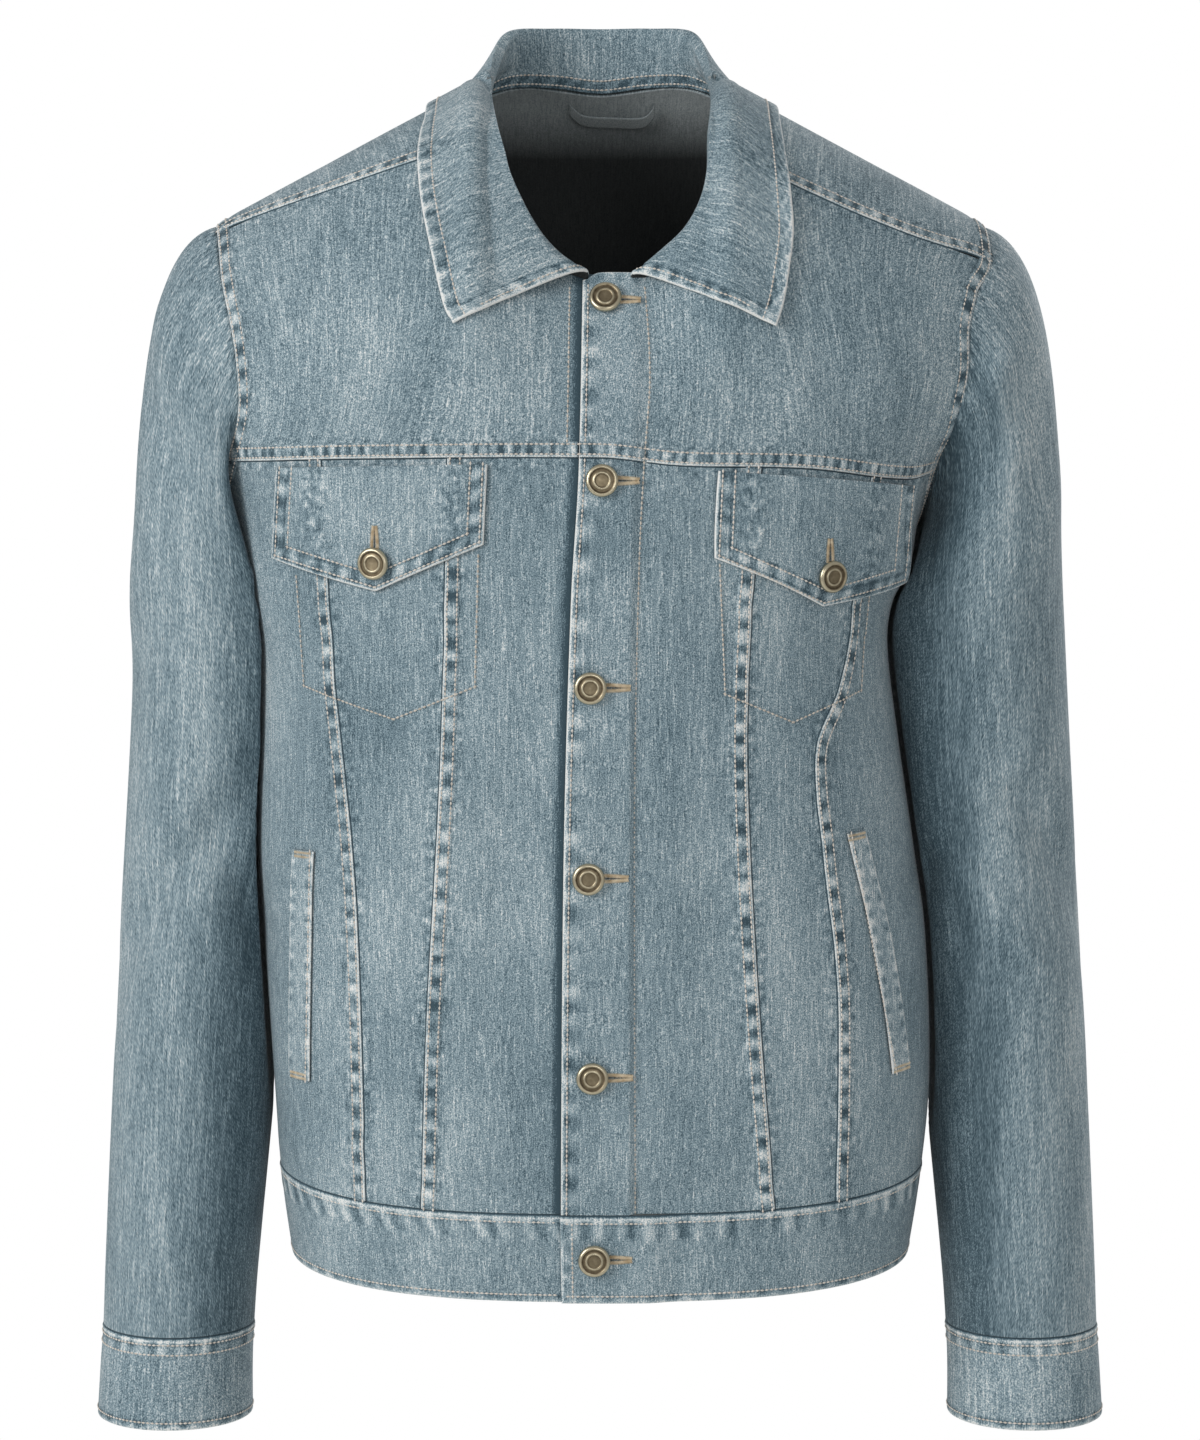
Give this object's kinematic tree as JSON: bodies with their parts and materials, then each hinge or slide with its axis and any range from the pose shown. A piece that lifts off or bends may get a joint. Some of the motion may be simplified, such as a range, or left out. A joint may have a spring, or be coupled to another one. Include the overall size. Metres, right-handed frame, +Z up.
{
  "type": "denim jacket",
  "caption": "Hip-length denim jacket, worn and buttoned with no wearer inside, with a fold-over collar, pointed chest flaps, V seams, long sleeves with cuffs and a waistband.",
  "frame": {"origin": "centre of the neck, level with the high points of the shoulders, where a wearer holds it up", "axes": "+Z up along the wearer's body, -Y the front, +X towards the wearer's left sleeve"},
  "size_m": [0.5576, 0.2453, 0.7661],
  "materials": {
    "washed_denim": "matte",
    "antique_brass": "satin"
  },
  "bodies": {
    "root": {"front_yoke_right": "washed_denim", "front_centre_right": "washed_denim", "front_middle_right": "washed_denim", "front_side_right": "washed_denim", "sleeve_upper_right": "washed_denim", "sleeve_under_right": "washed_denim", "cuff_right": "washed_denim", "cuff_button_right": "antique_brass", "front_yoke_left": "washed_denim", "front_centre_left": "washed_denim", "front_middle_left": "washed_denim", "front_side_left": "washed_denim", "sleeve_upper_left": "washed_denim", "sleeve_under_left": "washed_denim", "cuff_left": "washed_denim", "cuff_button_left": "antique_brass", "back_yoke": "washed_denim", "back": "washed_denim", "button_stand_right": "washed_denim", "placket_left": "washed_denim", "waistband": "washed_denim", "collar": "washed_denim", "hanger_loop": "washed_denim", "pocket_flap_right": "washed_denim", "pocket_flap_left": "washed_denim", "pocket_welt_right": "washed_denim", "pocket_welt_left": "washed_denim", "front_button_1": "antique_brass", "front_button_2": "antique_brass", "front_button_3": "antique_brass", "front_button_4": "antique_brass", "front_button_5": "antique_brass", "front_button_6": "antique_brass", "flap_button_right": "antique_brass", "flap_button_left": "antique_brass"}
  },
  "joints": []
}
